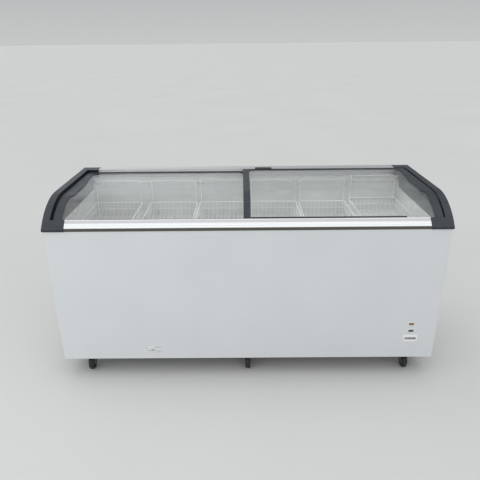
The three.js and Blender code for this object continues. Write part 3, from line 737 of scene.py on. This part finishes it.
def innerTub():
    low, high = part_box("inner_tub")
    wall = 0.003
    x0, x1 = low.x + wall, high.x - wall
    y0, y1 = low.y + wall, high.y - wall
    floorZ = low.z + wall
    stepX = 0.553
    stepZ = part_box("basket_6")[0].z - 0.0005
    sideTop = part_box("left_end_frame")[0].z + 0.0276
    bm = bmesh.new()
    outline = [(x0, floorZ), (stepX, floorZ), (stepX, stepZ), (x1, stepZ), (x1, sideTop), (x0, sideTop)]
    face = bm.faces.new([bm.verts.new((x, y0, z)) for x, z in outline])
    swept = bmesh.ops.extrude_face_region(bm, geom=[face])
    far = [v for v in swept["geom"] if isinstance(v, bmesh.types.BMVert)]
    bmesh.ops.translate(bm, verts=far, vec=(0, y1 - y0, 0))
    bmesh.ops.recalc_face_normals(bm, faces=bm.faces)
    lid = [f for f in bm.faces if f.normal.z > 0.9 and f.calc_center_median().z > sideTop - 0.001]
    bmesh.ops.delete(bm, geom=lid, context="FACES")
    folds = [e for e in bm.edges if len(e.link_faces) == 2]
    bmesh.ops.bevel(bm, geom=folds, offset=tub["cove"], segments=5, profile=0.5, affect="EDGES", material=-1)
    for v in bm.verts:
        if v.co.z > sideTop - 0.0005:
            if v.co.y > y1 - tub["cove"] + 0.0002:
                v.co.z = high.z
            elif v.co.y < y0 + 0.0002:
                v.co.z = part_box("front_trim_strip")[0].z - 0.0003
    bmesh.ops.reverse_faces(bm, faces=bm.faces)
    bmesh.ops.solidify(bm, geom=bm.faces, thickness=-tub["wall"])
    settle("inner_tub_liner", bm, "linerWhite", "cabinet", ["inner_tub"], sharp=50)
    refined("rear_trim_strip", "linerWhite", round=0.0012, steps=3)
    refined("front_trim_strip", "linerWhite", round=0.0008, steps=2)


loadLine = {"height": 0.718, "thick": 0.0016, "runs": [(-0.095, -0.028, -0.060), (0.033, 0.133, 0.085)],
            "triangle": 0.0065}


def loadLines():
    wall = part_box("inner_tub")[1].y - 0.003
    bm = bmesh.new()
    z = loadLine["height"]
    for x0, x1, mark in loadLine["runs"]:
        half = loadLine["thick"] / 2
        addBlock(bm, (x0, wall - 0.0004, z - half), (x1, wall + 0.0002, z + half))
        place = (Matrix.Translation((mark, wall - 0.0001, z + loadLine["triangle"] * 0.55))
                 @ Matrix.Rotation(math.radians(90), 4, "X") @ Matrix.Rotation(math.radians(90), 4, "Z"))
        bmesh.ops.create_cone(bm, cap_ends=True, segments=3, radius1=loadLine["triangle"],
                              radius2=loadLine["triangle"], depth=0.0006, matrix=place)
    settle("load_line_marks", bm, "loadMark", "cabinet", weld=False)


innerTub()
loadLines()
print("tub made")


# baskets
basket = {"rod": 0.0027, "hoop": 0.0017, "wire": 0.0011, "pitch": 0.0215, "corner": 0.016, "inset": 0.0105,
          "height": 0.080, "arm": 0.020}


def wireBasket(node):
    low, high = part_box(node)
    r = basket["rod"]
    x0, x1 = low.x + r, high.x - r
    y1 = high.y - basket["arm"] - r
    y0 = -y1
    foot = low.z
    ring = foot + basket["height"] - r
    rearTop = high.z - r
    frontTop = rearTop - (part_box("rear_trim_strip")[1].z - 0.0197 - 0.740)
    hookY = high.y - r
    xl, xr = x0 + basket["inset"] - r, x1 - basket["inset"] + r
    base = foot + r
    bm = bmesh.new()
    loop = [(xl, hookY, rearTop), (xl, y1, rearTop), (xl, y1, base), (xl, y0, base), (xl, y0, frontTop),
            (xl, -hookY, frontTop), (xr, -hookY, frontTop), (xr, y0, frontTop), (xr, y0, base),
            (xr, y1, base), (xr, y1, rearTop), (xr, hookY, rearTop)]
    addWires(bm, [softened(loop, basket["corner"], 5, True)], r, True, 2)
    rim = [(x0, y0, ring), (x1, y0, ring), (x1, y1, ring), (x0, y1, ring)]
    addWires(bm, [softened(rim, basket["corner"], 5, True)], r, True, 2)
    w = basket["wire"]
    h = basket["hoop"]
    middle = (ring + base) / 2
    addWires(bm, [softened([(x, y, middle) for x, y, _ in rim], basket["corner"], 4, True)], h, True)
    drop = foot + 2 * r + w
    across = max(2, int((x1 - x0) / basket["pitch"]))
    along = max(2, int((y1 - y0) / basket["pitch"]))
    paths = []
    for i in range(1, across):
        x = x0 + (x1 - x0) * i / across
        paths.append(softened([(x, y0 + 2 * w, ring), (x, y0 + 2 * w, drop), (x, y1 - 2 * w, drop),
                               (x, y1 - 2 * w, ring)], 0.012, 3))
    for i in range(1, along):
        y = y0 + (y1 - y0) * i / along
        under = drop - 2 * w
        paths.append(softened([(x0 + w, y, ring), (x0 + w, y, under), (x1 - w, y, under), (x1 - w, y, ring)],
                              0.012, 3))
    addWires(bm, paths, w)
    settle(node + "_wirework", bm, "basketWire", node, [node], sharp=60, weld=False)


for number in range(1, 7):
    wireBasket("basket_" + str(number))
print("baskets made")


# controls
control = {"lensRibs": 5, "edge": 0.0022}


def lamps():
    for node, finish in (("amber_lamp", "amberLens"), ("green_lamp", "greenLens")):
        low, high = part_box(node)
        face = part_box("front_panel")[0].y
        bezel = bmesh.new()
        addBlock(bezel, (low.x, low.y + 0.0012, low.z), (high.x, face + 0.0002, high.z), 0.0009, 3)
        settle(node + "_bezel", bezel, "whitePlastic", "cabinet")
        lens = bmesh.new()
        inset = 0.0026
        addBlock(lens, (low.x + inset, low.y, low.z + inset), (high.x - inset, face, high.z - inset),
                 0.0008, 3)
        for i in range(control["lensRibs"]):
            z = low.z + inset + (high.z - low.z - 2 * inset) * (i + 0.5) / control["lensRibs"]
            ends = (low.x + inset + 0.001, high.x - inset - 0.001)
            addRod(lens, (ends[0], low.y + 0.0004, z), (ends[1], low.y + 0.0004, z), 0.0009, 8)
        settle(node + "_lens", lens, finish, "cabinet", [node], weld=False)


segments = {"a": (0, 1, 1), "b": (1, 0.5, 0), "c": (1, -0.5, 0), "d": (0, -1, 1), "e": (-1, -0.5, 0),
            "f": (-1, 0.5, 0), "g": (0, 0, 1)}
digitShapes = {"-": "g", "1": "bc", "8": "abcdefg"}


def thermometer():
    low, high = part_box("thermometer_bezel")
    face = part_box("front_panel")[0].y
    windowLow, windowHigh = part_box("thermometer_display")
    bm = bmesh.new()
    addBlock(bm, (low.x, low.y, low.z), (high.x, face + 0.0002, high.z), 0.0012, 3)
    for x in (low.x + 0.0035, high.x - 0.0035):
        addTurned(bm, [(0, 0.0001), (0, 0.0014), (0.0004, 0.0012), (0.0005, 0.0001)],
                  (x, low.y, low.z + 0.007), (0, -1, 0), 12)
    settle("thermometer_case", bm, "whitePlastic", "cabinet", ["thermometer_bezel"], weld=False)
    glass = bmesh.new()
    addBlock(glass, (windowLow.x, low.y - 0.0002, windowLow.z),
             (windowHigh.x, low.y + 0.002, windowHigh.z), 0.0004, 2)
    settle("thermometer_window", glass, "liquidCrystal", "cabinet", ["thermometer_display"])
    digits = bmesh.new()
    height = (windowHigh.z - windowLow.z) * 0.68
    width = height * 0.52
    middleZ = (windowHigh.z + windowLow.z) / 2
    x = windowLow.x + 0.010
    for character in "-18":
        for key in digitShapes[character]:
            across, up, flat = segments[key]
            cx = x + across * width / 2
            cz = middleZ + up * height / 2
            w, h = (width * 0.74, 0.0013) if flat else (0.0013, height * 0.40)
            addBlock(digits, (cx - w / 2, low.y - 0.00045, cz - h / 2),
                     (cx + w / 2, low.y - 0.0001, cz + h / 2))
        x += width * 1.75
    x += 0.004
    for i in range(3):
        addBlock(digits, (x + i * 0.006, low.y - 0.00045, middleZ - height / 2),
                 (x + i * 0.006 + 0.0038, low.y - 0.0001, middleZ - height / 2 + 0.0022 + i * 0.0022))
    settle("thermometer_digits", digits, "darkDigits", "cabinet", weld=False)


lamps()
thermometer()
print("controls made")


# machine compartment
machine = {"can": 0.074, "finWires": 26}


def compressor():
    low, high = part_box("compressor")
    cx, cy = (low.x + high.x) / 2, (low.y + high.y) / 2
    r = machine["can"]
    z = low.z + 0.018
    tall = high.z - z
    bm = bmesh.new()
    shell = [(0, 0.0001), (0, r * 0.72), (0.02, r * 0.96), (tall * 0.45, r), (tall * 0.46, r + 0.0035),
             (tall * 0.50, r + 0.0035), (tall * 0.51, r), (tall * 0.78, r * 0.92), (tall * 0.93, r * 0.6),
             (tall - 0.0002, r * 0.25), (tall, 0.0001)]
    addTurned(bm, shell, (cx, cy, z), (0, 0, 1), 40)
    for sx in (-1, 1):
        addBlock(bm, (cx + sx * 0.075 - 0.014, low.y + 0.004, low.z + 0.010),
                 (cx + sx * 0.075 + 0.014, high.y - 0.004, low.z + 0.013), 0.001, 2)
    for y0, y1 in ((low.y + 0.003, low.y + 0.040), (high.y - 0.040, high.y - 0.003)):
        addBlock(bm, (low.x + 0.006, y0, low.z + 0.012), (high.x - 0.006, y1, low.z + 0.015), 0.001)
    addBlock(bm, (cx - 0.028, low.y - 0.002, z + 0.05), (cx + 0.028, low.y + 0.018, z + 0.11), 0.004, 3)
    for sx in (-1, 1):
        for y in (low.y + 0.02, high.y - 0.02):
            addTurned(bm, [(0, 0.003), (0, 0.013), (0.004, 0.014), (0.012, 0.011), (0.012, 0.003)],
                      (cx + sx * 0.075, y, low.z), (0, 0, 1), 16)
    settle("compressor_can", bm, "blackEnamel", "cabinet", ["compressor"])
    pipes = bmesh.new()
    runs = [
        [(cx + r * 0.7, cy - 0.01, z + 0.06), (cx + r + 0.012, cy - 0.01, z + 0.07),
         (cx + r + 0.014, cy - 0.05, z + 0.16), (cx + r + 0.014, cy - 0.13, z + 0.2),
         (cx + 0.07, -0.03, z + 0.22)],
        [(cx - r * 0.7, cy - 0.01, z + 0.06), (cx - r - 0.02, cy - 0.01, z + 0.09),
         (cx - r - 0.03, cy - 0.03, z + 0.26), (cx - r - 0.03, cy + 0.01, z + 0.36)],
    ]
    addWires(pipes, [softened(run, 0.025, 6) for run in runs], 0.004, False, 3)
    settle("compressor_pipes", pipes, "copperTube", "cabinet", weld=False)


def condenser():
    low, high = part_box("condenser_coil")
    y = (low.y + high.y) / 2
    rows = 7
    z0, z1 = low.z + 0.05, high.z - 0.006
    points = []
    for i in range(rows):
        z = z0 + (z1 - z0) * i / (rows - 1)
        ends = (low.x + 0.006, high.x - 0.006)
        points += [(ends[i % 2], y, z), (ends[1 - i % 2], y, z)]
    bm = bmesh.new()
    addWires(bm, [softened(points, 0.02, 5)], 0.0045, False, 3)
    settle("condenser_tube", bm, "copperTube", "cabinet", ["condenser_coil"], weld=False)
    fins = bmesh.new()
    paths = []
    for k in range(machine["finWires"]):
        x = low.x + 0.02 + (high.x - low.x - 0.04) * k / (machine["finWires"] - 1)
        for side in (-1, 1):
            paths.append([(x, y + side * 0.0058, z0 - 0.012), (x, y + side * 0.0058, z1 + 0.004)])
    addWires(fins, paths, 0.0009)
    for x in (low.x + 0.045, high.x - 0.045):
        addBlock(fins, (x - 0.002, y - 0.010, low.z), (x + 0.002, y + 0.010, z1), 0.0004)
    settle("condenser_fins", fins, "blackEnamel", "cabinet", weld=False)


compressor()
condenser()
print("machine made")


# casters
caster = {"tyre": 0.0045, "hub": 0.026, "bolt": 0.0062}


def casterWheel(node):
    low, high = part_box(node)
    centre = (low + high) / 2
    radius = centre.z
    half = (high.x - low.x) / 2
    hub = caster["hub"]
    bm = bmesh.new()
    shoulder = radius - caster["tyre"]
    tyre = [(-half + 0.002, hub), (-half, hub + 0.002), (-half + 0.0006, shoulder),
            (-half + 0.0035, radius - 0.0012), (-half * 0.35, radius), (half * 0.35, radius),
            (half - 0.0035, radius - 0.0012), (half - 0.0006, shoulder),
            (half, hub + 0.002), (half - 0.002, hub)]
    addTurned(bm, tyre, centre, (1, 0, 0), 48)
    settle(node + "_tyre", bm, "casterTyre", node, [node], sharp=35)
    core = bmesh.new()
    profile = [(-half + 0.0015, 0.0052), (-half + 0.0015, 0.0105), (-half + 0.005, 0.0115),
               (-half + 0.0065, 0.0215), (-half + 0.0028, 0.0235), (-half + 0.0028, hub)]
    profile += [(-a, r) for a, r in reversed(profile)]
    addTurned(core, profile, centre, (1, 0, 0), 36)
    for i in range(6):
        angle = math.radians(60 * i)
        for side in (-1, 1):
            x = centre.x + side * (half - 0.0048)
            place = (Matrix.Translation((x, centre.y, centre.z)) @ Matrix.Rotation(angle, 4, "X")
                     @ Matrix.Translation((0, 0.0165, 0)) @ Matrix.Diagonal((0.0022, 0.0105, 0.0022, 1)))
            bmesh.ops.create_cube(core, size=1, matrix=place)
    settle(node + "_hub", core, "casterHub", node, sharp=35, weld=False)


def casterFork(node, wheel):
    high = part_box(node)[1]
    wheelLow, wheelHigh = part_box(wheel)
    axle = (wheelLow + wheelHigh) / 2
    pivotY = axle.y + 0.025
    half = (wheelHigh.x - wheelLow.x) / 2 + 0.0022
    crownTop = high.z
    plateZ = crownTop - 0.0055
    bm = bmesh.new()
    outline = [(pivotY + 0.021, plateZ), (pivotY + 0.020, plateZ - 0.012), (axle.y + 0.014, axle.z + 0.004),
               (axle.y + 0.0115, axle.z - 0.0055), (axle.y + 0.006, axle.z - 0.0105),
               (axle.y, axle.z - 0.012), (axle.y - 0.006, axle.z - 0.0105),
               (axle.y - 0.0115, axle.z - 0.0055), (axle.y - 0.013, axle.z + 0.004),
               (pivotY - 0.031, plateZ - 0.016), (pivotY - 0.028, plateZ)]
    for side in (-1, 1):
        near = axle.x + side * half
        addRun(bm, outline, near, near + side * 0.0024)
    addBlock(bm, (axle.x - half - 0.0024, pivotY - 0.028, plateZ - 0.0024),
             (axle.x + half + 0.0024, pivotY + 0.021, plateZ), 0.0009, 2)
    race = [(0, 0.0001), (0, 0.0235), (0.0022, 0.0245), (0.0045, 0.0235), (0.0058, 0.0205), (0.0058, 0.0001)]
    addTurned(bm, race, (axle.x, pivotY, plateZ - 0.0008), (0, 0, 1), 32)
    settle(node + "_pressing", bm, "zincSteel", node, [node], 0.0005, 2, 45)
    bolt = bmesh.new()
    # shank, hexagon head and hexagon nut: ends along the axle, radius, sides
    for x0, x1, radius, sides in ((-half - 0.0055, half + 0.0045, 0.004, 16),
                                  (-half - 0.0068, -half - 0.0026, 0.0066, 6),
                                  (half + 0.0026, half + 0.0062, 0.0066, 6)):
        addRod(bolt, (axle.x + x0, axle.y, axle.z), (axle.x + x1, axle.y, axle.z), radius, sides)
    settle(node + "_bolt", bolt, "zincSteel", node, (), 0.0004, 2, 45, False)


def casterPlate(node):
    low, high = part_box(node)
    centre = (low + high) / 2
    bm = bmesh.new()
    addBlock(bm, (low.x, low.y, high.z - 0.0028), high, 0.0012, 3)
    addTurned(bm, [(0, 0.0001), (0, 0.0195), (0.0016, 0.0215), (0.0045, 0.0225), (0.0045, 0.0001)],
              (centre.x, centre.y, low.z), (0, 0, 1), 32)
    for sx in (-1, 1):
        for sy in (-1, 1):
            x, y = centre.x + sx * 0.0245, centre.y + sy * 0.0245
            addRod(bm, (x, y, high.z - 0.0028), (x, y, high.z - 0.0066), caster["bolt"], 6)
            addRod(bm, (x, y, high.z - 0.0066), (x, y, high.z - 0.0078), 0.0034, 10)
    settle(node + "_stamping", bm, "zincSteel", "cabinet", [node], weld=False)


for row in ("front", "rear"):
    for place in ("left", "middle", "right"):
        stem = row + "_" + place + "_caster"
        casterPlate(stem + "_plate")
        casterFork(stem + "_fork", stem + "_wheel")
        casterWheel(stem + "_wheel")
print("casters made")


# hidden cores keep their own shape
for node, finish in (("insulation_foam", "foam"), ("evaporator_coil", "copperTube")):
    for slot in nodes[node].material_slots:
        slot.material = finishes[finish]
